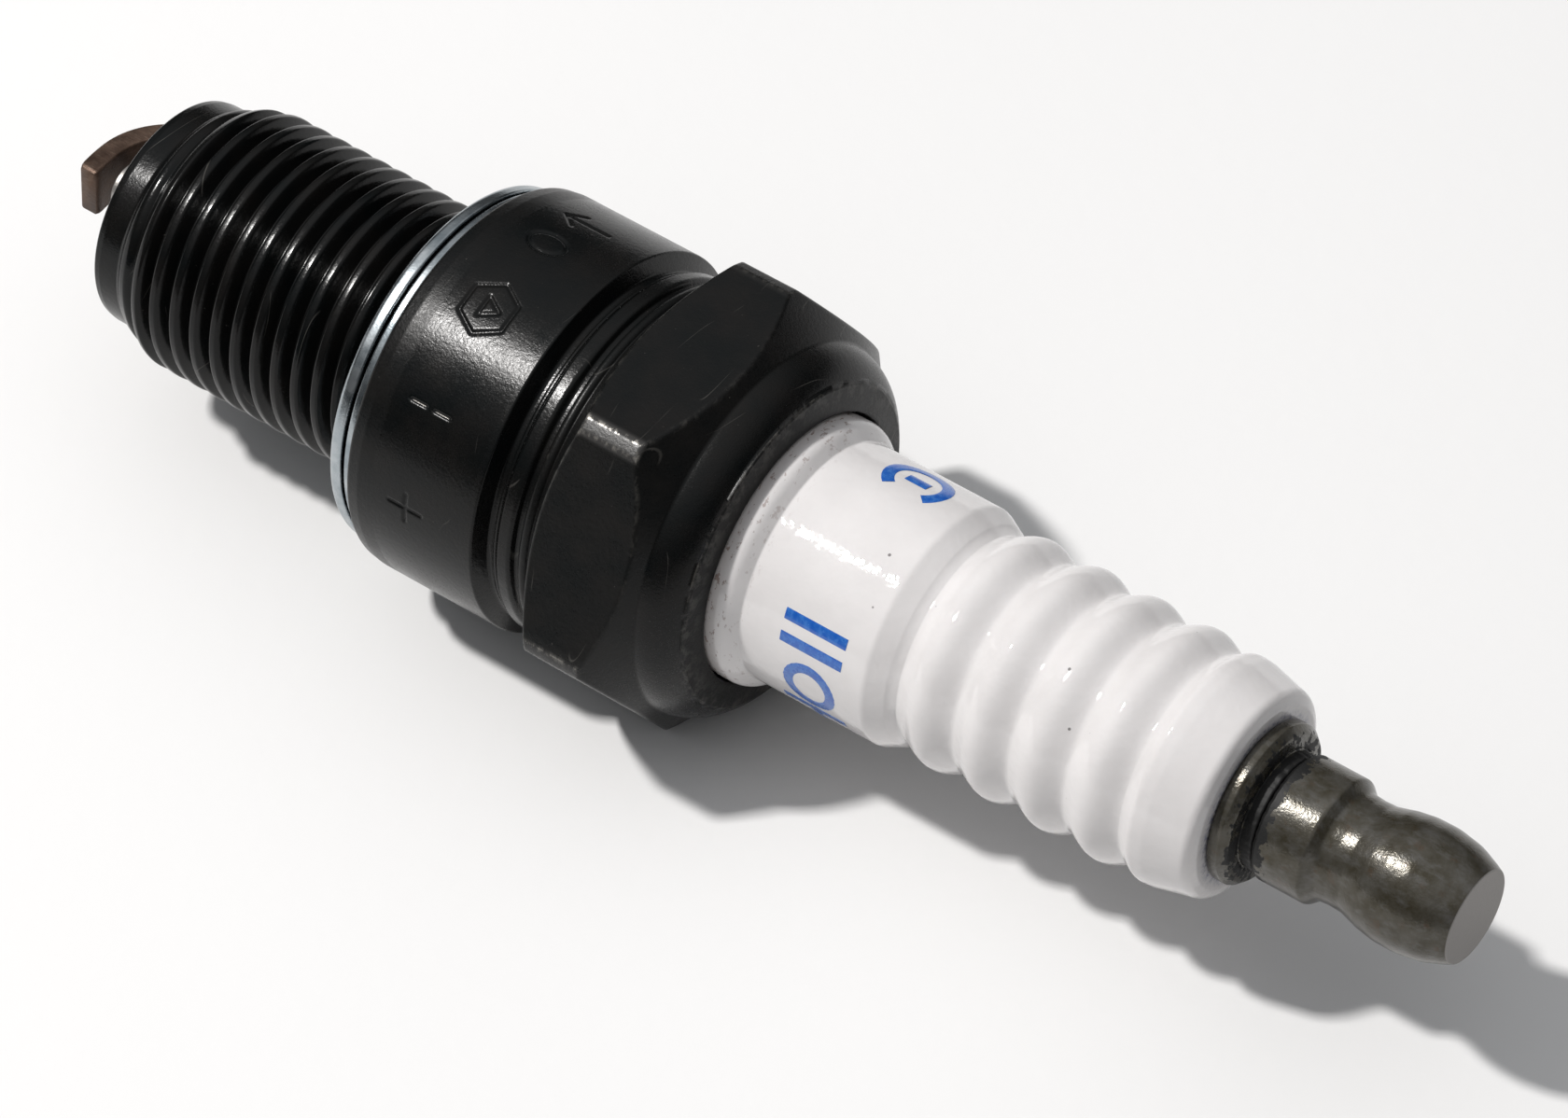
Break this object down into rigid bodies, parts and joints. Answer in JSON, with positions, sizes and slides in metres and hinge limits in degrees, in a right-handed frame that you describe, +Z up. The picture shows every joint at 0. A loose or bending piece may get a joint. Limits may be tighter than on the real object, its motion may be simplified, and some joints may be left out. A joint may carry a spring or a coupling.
{
  "type": "spark plug",
  "caption": "Spark plug with a long-reach thread, captive folded gasket, round seat collar, hexagon, ribbed white ceramic insulator and a solid screw-on terminal nut.",
  "frame": {"origin": "centre of the gasket's sealing face, on the plug's axis, with the loose gasket against the collar", "axes": "+X runs along the plug towards the terminal, +Z is up and square to one flat of the hexagon, and the plug lies with the opposite flat down"},
  "size_m": [0.0809, 0.0234, 0.0208],
  "materials": {
    "black_steel": "black oxide steel, satin with glossy thread flanks",
    "zinc_steel": "zinc plated folded steel sheet",
    "strap_nickel": "nickel alloy with a brown heat tint",
    "glazed_alumina": "white glazed alumina",
    "electrode_nickel": "nickel alloy, ground tip",
    "copper": "bare copper",
    "conductive_glass": "dark fused glass and metal powder",
    "olive_steel": "dark olive passivated steel",
    "nut_steel": "dark olive passivated steel, worn lighter on the end face",
    "washer_steel": "plain steel",
    "ring_steel": "drawn steel wire",
    "talc": "pressed mineral powder"
  },
  "bodies": {
    "plug": {"shell": "black_steel", "insulator": "glazed_alumina", "ground_electrode": "strap_nickel", "centre_electrode": "electrode_nickel", "copper_core": "copper", "glass_seal": "conductive_glass", "terminal_stud": "olive_steel", "seat_washer": "washer_steel", "lower_packing_ring": "ring_steel", "talc_filling": "talc", "upper_packing_ring": "ring_steel"},
    "gasket": {"gasket": "zinc_steel"},
    "terminal_nut": {"terminal_nut": "nut_steel"}
  },
  "joints": [
    {"name": "gasket_float", "type": "slide", "parent": "plug", "child": "gasket", "axis": [-1, 0, 0], "range_m": [0, 0.0007]},
    {"name": "nut_removal", "type": "slide", "parent": "plug", "child": "terminal_nut", "axis": [1, 0, 0], "range_m": [0, 0.0075]}
  ]
}
